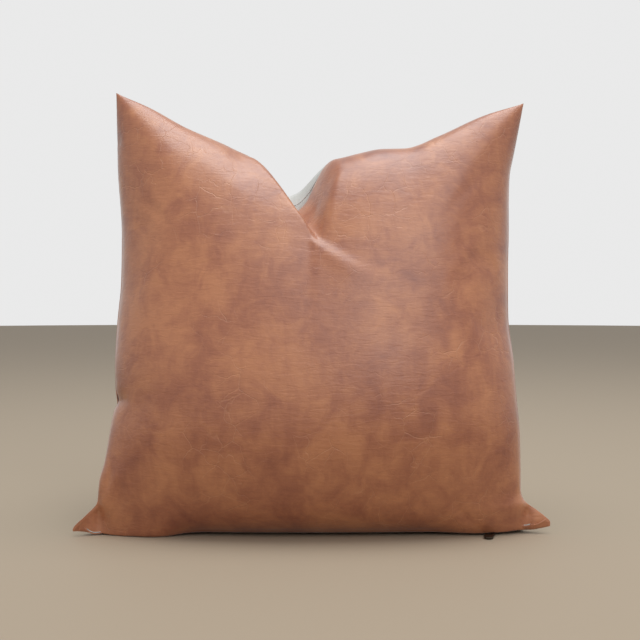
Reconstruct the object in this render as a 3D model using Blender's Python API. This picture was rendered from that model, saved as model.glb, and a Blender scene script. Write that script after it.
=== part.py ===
"""A square throw pillow: a zipped cover over a loose inner cushion.

The pillow stands on its bottom edge and leans back a little. +Z is up, the front faces -Y and
+X is to the right. The origin is on the flat patch that rests on the floor.
"""
import math

import bmesh
import bpy
from mathutils import Matrix, Vector

MM = 0.001
SIDES = (-1, 1)                   # the front, towards -Y, and the back

# Outline of the side and top seams.
SEAM_HEIGHT = 4.0 * MM            # the zip seam above the floor
CORNER_HEIGHT = 460.0 * MM        # top corners
SHOULDER_HEIGHT = 384.0 * MM      # top edge either side of the pressed-in notch
NOTCH_DEPTH = 74.0 * MM
NOTCH_HALF_WIDTH = 46.0 * MM
BOTTOM_HALF_WIDTH = 246.0 * MM    # out to the tips of the bottom corners
MIDDLE_HALF_WIDTH = 206.0 * MM
TOP_HALF_WIDTH = 222.0 * MM
BOTTOM_FLARE = 9.0                # how quickly the bottom corners narrow to the middle
TOP_FLARE = 2.5
TOP_SWEEP = 1.8                   # how late the top edge rises to its corners

# Depth, front to back.
SEAM_Y = -46.0 * MM               # the zip seam
TOP_LEAN = 54.0 * MM              # how far the top seam is behind the zip seam
FRONT_BULGE = 74.0 * MM
BACK_BULGE = 84.0 * MM
FLOOR_PAD = 98.0 * MM             # depth of the flat patch on the floor
PAD_ROWS = 0.3                    # share of the back panel that lies on the floor
NOTCH_SQUEEZE = 0.45              # share of the depth that the notch presses out
NOTCH_SPREAD = 1.6                # how much wider than the notch the pressed part is
NOTCH_FOOT = 0.55                 # share of the height where the pressed part starts
BELLY = 0.85                      # below 1, the deepest part is lower than half way up
PAD_RAMP = 12.0 * MM              # the cloth comes down to the floor over this depth
PAD_RAMP_SLOPE = 1.6
PAD_SIDE_SHARE = 0.12             # share of the width over which the pad's sides lift
BACK_CROWN = 0.12
BACK_CLOSING = 2.4                # how squarely the back meets the top seam
SEAM_DENSITY = 0.62               # 0 for an even grid, 1 for the closest lines at the seams

# Cloth and its hems.
GAP = 0.3 * MM
FOLD_GAP = 1.15 * MM              # room for the stitches between a hem and its panel
COVER_CLOTH = 1.2 * MM
COVER_HEM = 12.0 * MM
INSERT_CLOTH = 0.5 * MM
INSERT_HEM = 6.0 * MM
INSERT_INSET = 18.0 * MM          # the inner cushion's seam inside the cover's
INSERT_TOP_INSET = 34.0 * MM
FILLING_INSET = 36.0 * MM
FILLING_TOP_INSET = 54.0 * MM
INSERT_CLEARANCE = 3.3 * MM
FILLING_CLEARANCE = 7.0 * MM
COVER_CELLS = 20
INSERT_CELLS = 12

# Zip, across its chain.
ZIP_OPENING = 5.3 * MM            # from the middle of the chain to each panel's hem
ZIP_HALF_LENGTH = 202.0 * MM
ZIP_TAPER_START = 218.0 * MM
ZIP_TAPER_END = 236.0 * MM        # the panels meet again here
TEETH_LOW = 5.4 * MM
TEETH_HIGH = 7.4 * MM
TEETH_WIDTH = 2.1 * MM
TAPE_LOW = 6.1 * MM
TAPE_CLOTH = 0.6 * MM
TAPE_HIGH = 16.5 * MM
TAPE_OUTER = 5.0 * MM
STOP_LENGTH = 2.2 * MM

# Slider and pull.
SLIDER_X = 189.0 * MM
SLIDER_LENGTH = 10.0 * MM
SLIDER_HALF_WIDTH = 4.0 * MM
SLIDER_FLANGE = 0.8 * MM
OUTER_PLATE = (3.8 * MM, 4.9 * MM)
INNER_PLATE = (7.8 * MM, 8.8 * MM)
POST_OFFSET = 3.4 * MM
BRIDGE_HEIGHT = 1.9 * MM          # middle of the bridge's bar, which is the pull's axis
BRIDGE_RADIUS = 0.45 * MM
BRIDGE_HALF_SPAN = 2.9 * MM
EYE_INNER = 1.0 * MM
EYE_OUTER = 1.6 * MM
EYE_HALF_LENGTH = 0.9 * MM
BRIDGE_SEGMENTS = 10
EYE_SEGMENTS = 20
PULL_LENGTH = 36.0 * MM
PULL_WIDTH = 9.5 * MM
PULL_THICKNESS = 1.5 * MM
PULL_TURN = math.radians(18)      # the loose eye lets the pull lie at this angle on its bar
PULL_NECK = (1.25 * MM, 4.0 * MM) # the narrow neck starts and ends this far from the eye's axis
PULL_SHOULDER = 10.0 * MM         # the tab has its full width from here
PULL_RIM = 1.1 * MM
PULL_RIM_SLOPE = 0.3 * MM
PULL_PANEL_DEPTH = 0.35 * MM
POST_SIZE = (2.0 * MM, 1.8 * MM)  # along the zip and across it
LEG_SIZE = (1.2 * MM, 1.4 * MM)
BRIDGE_END = 0.6 * MM             # how far the bridge's bar runs past its legs
TOOTH_CHAMFER = 0.5 * MM
CLAMP_EDGE = 0.3 * MM             # rounding of the stops
SHARP_ANGLE = math.radians(35)    # edges flatter than this look smooth

THREAD_RADIUS = 0.2 * MM
ZIP_STITCH_HEIGHT = 11.0 * MM


def clear_scene():
    for item in list(bpy.data.objects):
        bpy.data.objects.remove(item)


def material(name, colour, roughness, metallic=0.0):
    made = bpy.data.materials.new(name)
    made.use_nodes = True
    shader = made.node_tree.nodes["Principled BSDF"]
    shader.inputs["Base Color"].default_value = (*colour, 1.0)
    shader.inputs["Roughness"].default_value = roughness
    shader.inputs["Metallic"].default_value = metallic
    return made


def add_object(name, mesh_builder, finish, origin=(0.0, 0.0, 0.0)):
    """Turns a bmesh into a named object whose own origin is the given point."""
    bmesh.ops.recalc_face_normals(mesh_builder, faces=mesh_builder.faces)
    bmesh.ops.translate(mesh_builder, verts=mesh_builder.verts, vec=-Vector(origin))
    mesh = bpy.data.meshes.new(name)
    mesh_builder.to_mesh(mesh)
    mesh_builder.free()
    mesh.materials.append(finish)
    made = bpy.data.objects.new(name, mesh)
    made.location = origin
    bpy.context.collection.objects.link(made)
    return made


def smoothstep(value):
    value = min(1.0, max(0.0, value))
    return value * value * (3.0 - 2.0 * value)


def mix(low, high, share):
    return low + (high - low) * share


# ---- the pillow's form ----
# across runs from -1 at the left seam to 1 at the right, and up from 0 at the zip to 1 at the top.

def half_width(up):
    low = max(0.0, 1.0 - up) ** BOTTOM_FLARE
    high = max(0.0, 2.0 * up - 1.0) ** TOP_FLARE
    return (MIDDLE_HALF_WIDTH + (BOTTOM_HALF_WIDTH - MIDDLE_HALF_WIDTH) * low
            + (TOP_HALF_WIDTH - MIDDLE_HALF_WIDTH) * high)


def top_height(across):
    swept = SHOULDER_HEIGHT + (CORNER_HEIGHT - SHOULDER_HEIGHT) * abs(across) ** TOP_SWEEP
    notch = 1.0 - min(1.0, abs(across) * TOP_HALF_WIDTH / NOTCH_HALF_WIDTH)
    return swept - NOTCH_DEPTH * notch


def seam_lean(up):
    return SEAM_Y + TOP_LEAN * up ** 3 * (10.0 - 15.0 * up + 6.0 * up * up)


def zip_opening(x):
    """Half the width between the two panels' hems along the zip, closing past its ends."""
    shut = smoothstep((abs(x) - ZIP_TAPER_START) / (ZIP_TAPER_END - ZIP_TAPER_START))
    return mix(ZIP_OPENING, GAP / 2, shut)


def round_off(share):
    """Height of a half circle that stands on -1 to 1."""
    return math.sqrt(max(0.0, 1.0 - share * share))


def notch_squeeze(across, up):
    """The share of the depth that is left below the pressed-in notch."""
    pressed = 1.0 - min(1.0, abs(across) * TOP_HALF_WIDTH / (NOTCH_SPREAD * NOTCH_HALF_WIDTH))
    return 1.0 - NOTCH_SQUEEZE * smoothstep(pressed) * smoothstep((up - NOTCH_FOOT) / (1.0 - NOTCH_FOOT))


def fullness(across, up):
    """How far the pillow swells here, from 0 at its seams to 1 where it is deepest."""
    return round_off(across) * round_off(2.0 * up ** BELLY - 1.0) * notch_squeeze(across, up)


def seam_point(across, up):
    """A point of the surface that runs through all the seams, between the two panels."""
    height = mix(SEAM_HEIGHT, top_height(across), up)
    return Vector((across * half_width(up), seam_lean(up), height))


class Layer:
    """One side of one of the pillow's nested closed forms."""

    def __init__(self, side, form, cloth=INSERT_CLOTH, hem=INSERT_HEM, cells=INSERT_CELLS):
        self.side = side                   # -1 for the front, 1 for the back
        self.inset, self.top_inset, self.clearance, self.floor_level = form
        self.cloth = cloth
        self.hem = hem
        self.cells = cells
        self.edge = 2.0 * cloth + FOLD_GAP

    def shares(self, across, up, further_in=0.0):
        """Where a point of this form lies on the cover's own seam surface."""
        share_across = across * (1.0 - (self.inset + further_in) / MIDDLE_HALF_WIDTH)
        span = top_height(share_across) - SEAM_HEIGHT
        low = (self.inset + further_in) / span
        high = (self.top_inset + further_in) / span
        return share_across, low + up * (1.0 - low - high)

    def seam_gap(self, across, up, x):
        """Half the gap between the panels: the zip's along the cover's bottom edge."""
        on_zip = self.inset == 0.0 and up == 0.0 and abs(across) < 1.0
        return zip_opening(x) if on_zip else GAP / 2

    def hem_point(self, across, up, further_in, depth):
        point = seam_point(*self.shares(across, up, further_in))
        point.y += self.side * (self.seam_gap(across, up, point.x) + depth)
        return point

    def surface_point(self, across, up):
        point = seam_point(*self.shares(across, up))
        zip_gap = self.seam_gap(across, 0.0, across * BOTTOM_HALF_WIDTH)
        opening = mix(GAP / 2, zip_gap, (1.0 - up) ** 6)
        edge = opening + self.edge
        bulge = FRONT_BULGE if self.side < 0 else BACK_BULGE
        lifted = point.copy()
        lifted.y += self.side * (edge + (bulge - self.clearance) * fullness(across, up))
        if self.side < 0:
            return lifted
        laid = smoothstep((1.0 - abs(across)) / PAD_SIDE_SHARE)
        return lifted.lerp(self.rest_on_floor(across, up, edge), laid)

    def rest_on_floor(self, across, up, edge):
        """Lays the lower rows of a back panel flat, and stands the others up behind them."""
        depth = (FLOOR_PAD - self.clearance) * round_off(across) ** 0.5
        seam_level = self.hem_point(across, 0.0, 0.0, 0.0).z
        if up <= PAD_ROWS:
            laid = up / PAD_ROWS
            ramp = max(PAD_RAMP, PAD_RAMP_SLOPE * (seam_level - self.floor_level))
            y = SEAM_Y + edge + depth * laid
            z = mix(seam_level, self.floor_level, smoothstep(depth * laid / ramp))
        else:
            rise = (up - PAD_ROWS) / (1.0 - PAD_ROWS)
            crown = 1.0 + BACK_CROWN * math.sin(math.pi * rise)
            closing = math.sqrt(max(0.0, 1.0 - rise ** BACK_CLOSING)) * notch_squeeze(across, rise)
            y = seam_lean(self.shares(across, rise)[1]) + edge + depth * crown * closing
            z = mix(self.floor_level, self.hem_point(across, 1.0, 0.0, 0.0).z, rise)
        x = self.shares(across, up)[0] * half_width(z / CORNER_HEIGHT)
        return Vector((x, y, z))


def spread(step, cells):
    """Places grid lines closer together towards the seams."""
    even = 2.0 * step / cells - 1.0
    return mix(even, math.sin(0.5 * math.pi * even), SEAM_DENSITY)


def panel_grid(builder, cells):
    """A square grid, and for each of its points where it lies across and up the panel."""
    made = bmesh.ops.create_grid(builder, x_segments=cells, y_segments=cells, size=1.0)["verts"]
    place = {}
    for vert in made:
        column = round((vert.co.x + 1.0) * cells / 2)
        row = round((vert.co.y + 1.0) * cells / 2)
        place[vert] = (spread(column, cells), (spread(row, cells) + 1.0) / 2)
    return place


def rim_edges(builder, verts):
    return [edge for edge in builder.edges
            if edge.is_boundary and edge.verts[0] in verts and edge.verts[1] in verts]


def grow_ring(builder, place, edges):
    """Extrudes an open edge loop and hands its places on to the new loop."""
    old = {vert for edge in edges for vert in edge.verts}
    grown = bmesh.ops.extrude_edge_only(builder, edges=edges)["geom"]
    fresh = [item for item in grown if isinstance(item, bmesh.types.BMVert)]
    new_edges = [item for item in grown
                 if isinstance(item, bmesh.types.BMEdge) and not (set(item.verts) & old)]
    for vert in fresh:
        source = min(old, key=lambda other: (other.co - vert.co).length_squared)
        place[vert] = place[source]
    return fresh, new_edges


def inner_offset(layer, across, up):
    """The point one cloth thickness inside the outer surface."""
    step = 1e-3
    here = layer.surface_point(across, up)
    low_a, high_a = max(-1.0, across - step), min(1.0, across + step)
    low_u, high_u = max(0.0, up - step), min(1.0, up + step)
    along = layer.surface_point(high_a, up) - layer.surface_point(low_a, up)
    upward = layer.surface_point(across, high_u) - layer.surface_point(across, low_u)
    normal = along.cross(upward).normalized()
    return here + normal * layer.side * layer.cloth


def cloth_panel(name, layer, finish):
    """A sewn panel: its outer face, its folded hem inside the seam, and its inner face."""
    builder = bmesh.new()
    outer = panel_grid(builder, layer.cells)
    edges = rim_edges(builder, set(outer))
    for vert, (across, up) in outer.items():
        vert.co = layer.surface_point(across, up)
    cloth = layer.cloth
    rings = [(0.0, 0.0), (layer.hem, 0.0), (layer.hem, cloth), (cloth, cloth)]
    for inset, depth in rings:
        fresh, edges = grow_ring(builder, outer, edges)
        for vert in fresh:
            vert.co = layer.hem_point(*outer[vert], inset, depth)
    inner = panel_grid(builder, layer.cells)
    inner_rim = rim_edges(builder, set(inner))
    on_rim = {vert for edge in inner_rim for vert in edge.verts}
    for vert, (across, up) in inner.items():
        if vert in on_rim:
            vert.co = layer.hem_point(across, up, cloth, layer.edge - cloth)
        else:
            vert.co = inner_offset(layer, across, up)
    join_rims(builder, outer, edges, inner, on_rim)
    made = add_object(name, builder, finish)
    made.data.shade_smooth()
    return made


def join_rims(builder, first_place, first_edges, second_place, second_rim):
    """Closes the space between two loops whose points lie at the same places."""
    partner = {tuple(round(share, 6) for share in second_place[vert]): vert for vert in second_rim}
    for edge in first_edges:
        low, high = edge.verts
        ends = [partner[tuple(round(share, 6) for share in first_place[vert])] for vert in (high, low)]
        builder.faces.new([low, high, *ends])


def filling_body(name, front, back, finish):
    """A closed form with a front and a back face and a narrow rim between them."""
    builder = bmesh.new()
    front_place = panel_grid(builder, front.cells)
    front_edges = rim_edges(builder, set(front_place))
    for vert, (across, up) in front_place.items():
        vert.co = front.surface_point(across, up)
    back_place = panel_grid(builder, back.cells)
    back_rim = {vert for edge in rim_edges(builder, set(back_place)) for vert in edge.verts}
    for vert, (across, up) in back_place.items():
        vert.co = back.surface_point(across, up)
    join_rims(builder, front_place, front_edges, back_place, back_rim)
    made = add_object(name, builder, finish)
    made.data.shade_smooth()
    return made


# ---- stitching ----

def thread(name, points, finish, closed=False):
    """A round thread along a path."""
    curve = bpy.data.curves.new(name, "CURVE")
    curve.dimensions = "3D"
    curve.bevel_depth = THREAD_RADIUS
    curve.bevel_resolution = 0
    curve.use_fill_caps = not closed
    spline = curve.splines.new("POLY")
    spline.points.add(len(points) - 1)
    for target, point in zip(spline.points, points):
        target.co = (*point, 1.0)
    spline.use_cyclic_u = closed
    curve.materials.append(finish)
    made = bpy.data.objects.new(name, curve)
    bpy.context.collection.objects.link(made)
    return made


def around_panel(cells, closed):
    """Places along the left, top and right seams, and along the bottom one for a closed loop."""
    acrosses = [spread(column, cells) for column in range(1, cells)]
    ups = [(across + 1.0) / 2 for across in acrosses]
    places = [(-1.0, up) for up in ups]
    places += [(across, 1.0) for across in acrosses]
    places += [(1.0, up) for up in reversed(ups)]
    if closed:
        places += [(across, 0.0) for across in reversed(acrosses)]
    return places


def seam_stitches(name, layer, finish, closed):
    """The line of stitches that holds a seam's two hems together, half way into the hem."""
    depth = layer.cloth + GAP + THREAD_RADIUS
    path = [layer.hem_point(across, up, layer.hem / 2, depth)
            for across, up in around_panel(layer.cells, closed)]
    return thread(name, path, finish, closed)


def zip_stitches(side_name, side, finish):
    y = SEAM_Y + side * (ZIP_OPENING + COVER_CLOTH + GAP + THREAD_RADIUS)
    reach = ZIP_HALF_LENGTH - 6.0 * MM
    ends = [Vector((x, y, ZIP_STITCH_HEIGHT)) for x in (-reach, reach)]
    return thread(f"zip_thread_{side_name}", ends, finish)


# ---- zip ----

def box(builder, low, high):
    size = Vector(high) - Vector(low)
    made = bmesh.ops.create_cube(builder, size=1.0)["verts"]
    bmesh.ops.scale(builder, verts=made, vec=size)
    bmesh.ops.translate(builder, verts=made, vec=(Vector(low) + Vector(high)) / 2)
    return made


def prism_along_x(builder, outline, start, end):
    """A cross-section in Y and Z, swept along X."""
    corners = [builder.verts.new((start, y, z)) for y, z in outline]
    face = builder.faces.new(corners)
    swept = bmesh.ops.extrude_face_region(builder, geom=[face])["geom"]
    moved = [item for item in swept if isinstance(item, bmesh.types.BMVert)]
    bmesh.ops.translate(builder, verts=moved, vec=(end - start, 0.0, 0.0))


def zip_tape(side_name, side, finish):
    """A tape with its chain edge level and its outer part turned up along the panel's hem."""
    inner = TEETH_WIDTH + GAP
    outline = [(inner, TAPE_LOW), (TAPE_OUTER, TAPE_LOW), (TAPE_OUTER, TAPE_HIGH),
               (TAPE_OUTER - TAPE_CLOTH, TAPE_HIGH), (TAPE_OUTER - TAPE_CLOTH, TAPE_LOW + TAPE_CLOTH),
               (inner, TAPE_LOW + TAPE_CLOTH)]
    builder = bmesh.new()
    prism_along_x(builder, [(SEAM_Y + side * y, z) for y, z in outline], -ZIP_HALF_LENGTH, ZIP_HALF_LENGTH)
    return add_object(f"zip_tape_{side_name}", builder, finish)


def zip_teeth(side_name, side, finish):
    """One half of the closed chain, up to the slider's post."""
    start = -ZIP_HALF_LENGTH + 2.0 * STOP_LENGTH
    end = SLIDER_X + POST_OFFSET - POST_SIZE[0] / 2 - GAP
    near, far = GAP / 2, TEETH_WIDTH
    outline = [(near, TEETH_LOW), (far - TOOTH_CHAMFER, TEETH_LOW), (far, TEETH_LOW + TOOTH_CHAMFER),
               (far, TEETH_HIGH - TOOTH_CHAMFER), (far - TOOTH_CHAMFER, TEETH_HIGH), (near, TEETH_HIGH)]
    builder = bmesh.new()
    prism_along_x(builder, [(SEAM_Y + side * y, z) for y, z in outline], start, end)
    return add_object(f"zip_teeth_{side_name}", builder, finish)


def zip_top_stop(side_name, side, finish):
    """A small clamp at the end of each coil, past the closed slider."""
    start = SLIDER_X + SLIDER_LENGTH / 2 + GAP
    ys = sorted(SEAM_Y + side * y for y in (GAP, TEETH_WIDTH))
    builder = bmesh.new()
    verts = box(builder, (start, ys[0], TEETH_LOW), (start + STOP_LENGTH, ys[1], TEETH_HIGH))
    round_box(builder, verts)
    return add_object(f"zip_top_stop_{side_name}", builder, finish)


def zip_bottom_stop(finish):
    start = -ZIP_HALF_LENGTH + GAP
    builder = bmesh.new()
    verts = box(builder, (start, SEAM_Y - TEETH_WIDTH, TEETH_LOW),
                (start + 1.5 * STOP_LENGTH, SEAM_Y + TEETH_WIDTH, TEETH_HIGH))
    round_box(builder, verts)
    return add_object("zip_bottom_stop", builder, finish)


def round_box(builder, verts):
    edges = {edge for vert in verts for edge in vert.link_edges}
    bmesh.ops.bevel(builder, geom=list(edges), offset=CLAMP_EDGE, segments=1, affect="EDGES",
                    profile=0.5, material=-1)


def combine(target, tool, way="UNION"):
    """Joins a second body into the first, or cuts it out, and removes the second."""
    change = target.modifiers.new("combine", "BOOLEAN")
    change.operation = way
    change.object = tool
    depsgraph = bpy.context.evaluated_depsgraph_get()
    mesh = bpy.data.meshes.new_from_object(target.evaluated_get(depsgraph))
    target.modifiers.clear()
    target.data = mesh
    bpy.data.objects.remove(tool)


def bar_along_x(radius, length, segments):
    """A round bar along X, centred on the origin."""
    bar = bmesh.new()
    bmesh.ops.create_cone(bar, cap_ends=True, segments=segments, radius1=radius, radius2=radius,
                          depth=length)
    bmesh.ops.rotate(bar, verts=bar.verts, matrix=Matrix.Rotation(math.radians(90), 3, "Y"))
    return bar


def upright_block(x, size, low, high):
    """A block that stands on the zip's middle line."""
    block = bmesh.new()
    box(block, (x - size[0] / 2, SEAM_Y - size[1] / 2, low), (x + size[0] / 2, SEAM_Y + size[1] / 2, high))
    return block


def slider_plate(low, high, flange_low, flange_high):
    """One plate of the slider with the flange down each side."""
    builder = bmesh.new()
    half = SLIDER_HALF_WIDTH
    inner = half - SLIDER_FLANGE
    if flange_high > high:
        outline = [(-half, low), (half, low), (half, flange_high), (inner, flange_high),
                   (inner, high), (-inner, high), (-inner, flange_high), (-half, flange_high)]
    else:
        outline = [(-half, high), (-half, flange_low), (-inner, flange_low), (-inner, low),
                   (inner, low), (inner, flange_low), (half, flange_low), (half, high)]
    start, end = SLIDER_X - SLIDER_LENGTH / 2, SLIDER_X + SLIDER_LENGTH / 2
    prism_along_x(builder, [(SEAM_Y + y, z) for y, z in outline], start, end)
    return builder


def zip_slider(finish):
    """Two flanged plates, the post between them that parts the teeth, and the pull's bridge."""
    outer = slider_plate(*OUTER_PLATE, OUTER_PLATE[0], TAPE_LOW - GAP)
    body = add_object("zip_slider", outer, finish, (SLIDER_X, SEAM_Y, BRIDGE_HEIGHT))
    inner = slider_plate(*INNER_PLATE, TAPE_LOW + TAPE_CLOTH + GAP, INNER_PLATE[1])
    combine(body, add_object("slider_inner", inner, finish))
    post = upright_block(SLIDER_X + POST_OFFSET, POST_SIZE, OUTER_PLATE[1] - GAP, INNER_PLATE[0] + GAP)
    combine(body, add_object("slider_post", post, finish))
    bridge = bar_along_x(BRIDGE_RADIUS, 2.0 * (BRIDGE_HALF_SPAN + BRIDGE_END), BRIDGE_SEGMENTS)
    bmesh.ops.translate(bridge, verts=bridge.verts, vec=(SLIDER_X, SEAM_Y, BRIDGE_HEIGHT))
    combine(body, add_object("slider_bridge", bridge, finish))
    for leg in (-BRIDGE_HALF_SPAN, BRIDGE_HALF_SPAN):
        upright = upright_block(SLIDER_X + leg, LEG_SIZE, BRIDGE_HEIGHT - LEG_SIZE[0] / 2,
                                OUTER_PLATE[0] + GAP)
        combine(body, add_object("slider_leg", upright, finish))
    body.data.shade_smooth()
    body.data.set_sharp_from_angle(angle=SHARP_ANGLE)
    return body


def zip_pull(finish):
    """A flat tab with a raised rim and a rolled eye that hangs loosely on the slider's bridge."""
    outline = pull_outline()
    tab = bmesh.new()
    bottom = -PULL_THICKNESS / 2
    face = tab.faces.new([tab.verts.new((x, y, bottom)) for x, y in outline])
    swept = bmesh.ops.extrude_face_region(tab, geom=[face])["geom"]
    top = [item for item in swept if isinstance(item, bmesh.types.BMVert)]
    bmesh.ops.translate(tab, verts=top, vec=(0.0, 0.0, PULL_THICKNESS))
    bmesh.ops.recalc_face_normals(tab, faces=tab.faces)
    caps = [one for one in tab.faces if abs(one.normal.z) > 0.9]
    bmesh.ops.inset_individual(tab, faces=caps, thickness=PULL_RIM, depth=0.0)
    bmesh.ops.inset_individual(tab, faces=caps, thickness=PULL_RIM_SLOPE, depth=-PULL_PANEL_DEPTH)
    body = add_object("zip_pull", tab, finish)
    eye = bar_along_x(EYE_OUTER, 2.0 * EYE_HALF_LENGTH, EYE_SEGMENTS)
    combine(body, add_object("pull_eye", eye, finish))
    bore = bar_along_x(EYE_INNER, 4.0 * EYE_HALF_LENGTH, EYE_SEGMENTS)
    combine(body, add_object("pull_bore", bore, finish), "DIFFERENCE")
    body.rotation_euler = (0.0, 0.0, -PULL_TURN)
    body.location = (SLIDER_X, SEAM_Y, BRIDGE_HEIGHT)
    body.data.shade_smooth()
    body.data.set_sharp_from_angle(angle=SHARP_ANGLE)
    return body


def pull_outline():
    """Outline of the tab: a narrow neck that widens to a long body with a round end."""
    neck = EYE_HALF_LENGTH
    half = PULL_WIDTH / 2
    points = [(-neck, -end) for end in PULL_NECK]
    points += [(-mix(neck, half, smoothstep(step / 4)), -mix(PULL_NECK[1], PULL_SHOULDER, step / 4))
               for step in range(1, 5)]
    centre = -PULL_LENGTH + half
    points += [(-half * math.cos(math.radians(turn)), centre - half * math.sin(math.radians(turn)))
               for turn in range(0, 91, 15)]
    mirrored = [(-x, y) for x, y in reversed(points) if abs(x) > 1e-9]
    return points + mirrored


def main():
    clear_scene()
    faux_leather = material("faux_leather", (0.42, 0.20, 0.12), 0.5)
    woven_back = material("woven_back", (0.66, 0.68, 0.66), 0.9)
    lining = material("insert_casing", (0.80, 0.80, 0.78), 0.9)
    fibre = material("fibre_filling", (0.85, 0.85, 0.83), 1.0)
    tape_cloth = material("zip_tape", (0.55, 0.54, 0.50), 0.85)
    coil = material("zip_coil", (0.60, 0.58, 0.53), 0.45)
    dark_metal = material("dark_metal", (0.10, 0.08, 0.07), 0.4, 1.0)
    brown_thread = material("brown_thread", (0.35, 0.20, 0.12), 0.7)
    white_thread = material("white_thread", (0.78, 0.78, 0.76), 0.8)

    cover_form = (0.0, 0.0, 0.0, 0.0)
    front, back = [Layer(side, cover_form, COVER_CLOTH, COVER_HEM, COVER_CELLS) for side in SIDES]
    cloth_panel("front_panel", front, faux_leather)
    cloth_panel("back_panel", back, woven_back)
    seam_stitches("seam_thread", front, brown_thread, closed=False)

    insert_level = COVER_CLOTH + 1.0 * MM
    insert_form = (INSERT_INSET, INSERT_TOP_INSET, INSERT_CLEARANCE, insert_level)
    insert_front, insert_back = [Layer(side, insert_form) for side in SIDES]
    cloth_panel("insert_front_panel", insert_front, lining)
    cloth_panel("insert_back_panel", insert_back, lining)
    seam_stitches("insert_seam_thread", insert_front, white_thread, closed=True)

    filling_level = insert_level + INSERT_CLOTH + 1.0 * MM
    filling_form = (FILLING_INSET, FILLING_TOP_INSET, FILLING_CLEARANCE, filling_level)
    filling_body("insert_filling", *[Layer(side, filling_form) for side in SIDES], fibre)

    for side_name, side in zip(("front", "back"), SIDES):
        zip_tape(side_name, side, tape_cloth)
        zip_teeth(side_name, side, coil)
        zip_top_stop(side_name, side, dark_metal)
        zip_stitches(side_name, side, white_thread)
    zip_bottom_stop(dark_metal)
    zip_slider(dark_metal)
    zip_pull(dark_metal)


main()
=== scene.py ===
"""Looks of a zipped throw pillow with a leather-look front, a woven back and an inner cushion."""
import math
from functools import partial

import bmesh
import bpy
import numpy as np
from bpy.props import FloatProperty, FloatVectorProperty, IntProperty, PointerProperty
from mathutils import Matrix, Vector


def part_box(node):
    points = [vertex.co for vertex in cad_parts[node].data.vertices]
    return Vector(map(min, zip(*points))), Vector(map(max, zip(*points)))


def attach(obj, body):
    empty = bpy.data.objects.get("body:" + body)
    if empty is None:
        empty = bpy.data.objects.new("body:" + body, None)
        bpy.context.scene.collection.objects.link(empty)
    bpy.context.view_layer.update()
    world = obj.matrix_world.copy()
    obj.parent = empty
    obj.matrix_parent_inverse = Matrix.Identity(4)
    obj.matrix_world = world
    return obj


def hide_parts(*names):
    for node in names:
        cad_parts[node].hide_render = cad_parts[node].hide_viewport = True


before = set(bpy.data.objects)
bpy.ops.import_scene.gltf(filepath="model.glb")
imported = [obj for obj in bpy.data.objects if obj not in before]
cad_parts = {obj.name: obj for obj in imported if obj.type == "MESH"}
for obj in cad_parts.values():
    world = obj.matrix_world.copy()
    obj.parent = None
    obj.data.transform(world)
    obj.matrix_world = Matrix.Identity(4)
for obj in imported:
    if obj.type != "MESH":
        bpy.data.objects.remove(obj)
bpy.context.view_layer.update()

bl_info = {
    "name": "Throw Pillow",
    "version": (1, 0, 0),
    "blender": (4, 5, 0),
    "location": "View3D > Sidebar > Pillow",
    "description": "Builds a zipped throw pillow standing on its bottom edge",
    "category": "Object",
}

MM = 0.001
SIDES = {"front": -1, "back": 1}

# Outline of the seams, as (height, place across) up each side and (across, height) along the top.
LEFT_SIDE = ((0.000, -0.2440), (0.004, -0.2480), (0.008, -0.2495), (0.012, -0.2475), (0.018, -0.2410),
             (0.025, -0.2335), (0.034, -0.2258), (0.057, -0.2245), (0.075, -0.2195), (0.108, -0.2140),
             (0.142, -0.2090), (0.181, -0.2108), (0.224, -0.2095), (0.260, -0.2080), (0.314, -0.2094),
             (0.393, -0.2158), (0.4735, -0.2180))
RIGHT_SIDE = ((0.000, 0.2440), (0.008, 0.2485), (0.013, 0.2490), (0.017, 0.2450), (0.026, 0.2335),
              (0.034, 0.2220), (0.045, 0.2175), (0.075, 0.2172), (0.108, 0.2168), (0.142, 0.2148),
              (0.181, 0.2128), (0.224, 0.2090), (0.275, 0.2104), (0.314, 0.2128), (0.380, 0.2166),
              (0.403, 0.2204), (0.462, 0.2312))
TOP_EDGE = ((-0.2180, 0.4735), (-0.180, 0.4570), (-0.140, 0.4350), (-0.100, 0.4180), (-0.070, 0.4050),
            (-0.020, 0.3960), (0.030, 0.4005), (0.055, 0.4065), (0.080, 0.4115), (0.106, 0.4120),
            (0.140, 0.4250), (0.190, 0.4490), (0.2312, 0.4620))
BOTTOM_EDGE = ((-0.249, 0.007), (-0.225, 0.002), (0.0, 0.0015), (0.225, 0.003), (0.250, 0.009))
# Half width of the full body beside the flat bottom corners, by height, up to where they end.
BODY_EDGE = ((0.0, 0.219), (0.02, 0.222), (0.034, 0.2255), (0.06, 0.2255), (0.08, 0.230))

# The pressed-in notch: a funnel whose middle runs back and to the left from its front lip.
# Each pair is a place front to back, and the depth or the width of the funnel there.
NOTCH_LIP = (0.0045, -0.060)
NOTCH_TURN = -0.45
NOTCH_DEPTHS = ((-0.085, 0.0), (-0.064, 0.014), (-0.052, 0.030), (-0.041, 0.042), (-0.019, 0.056),
                (0.008, 0.058), (0.016, 0.046), (0.025, 0.032), (0.060, 0.018), (0.100, 0.008))
NOTCH_LEFT = ((-0.075, 0.006), (-0.056, 0.011), (-0.041, 0.024), (-0.020, 0.036), (0.008, 0.046),
              (0.060, 0.055))
NOTCH_RIGHT = ((-0.075, 0.008), (-0.060, 0.013), (-0.041, 0.026), (-0.019, 0.040), (0.008, 0.044),
               (0.060, 0.060))
NOTCH_WALL = ((0.0, 0.0), (0.2, 0.15), (0.42, 0.46), (0.62, 0.76), (0.8, 0.89), (1.0, 1.0))
NOTCH_ROOT = 0.245                # height where the notch starts to press
NOTCH_FULL = 0.385                # height from which it presses in full
NOTCH_SMOOTHING = 0.65            # how round its left wall is

MEAN_HEIGHT = 0.42                # of the top edge

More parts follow.
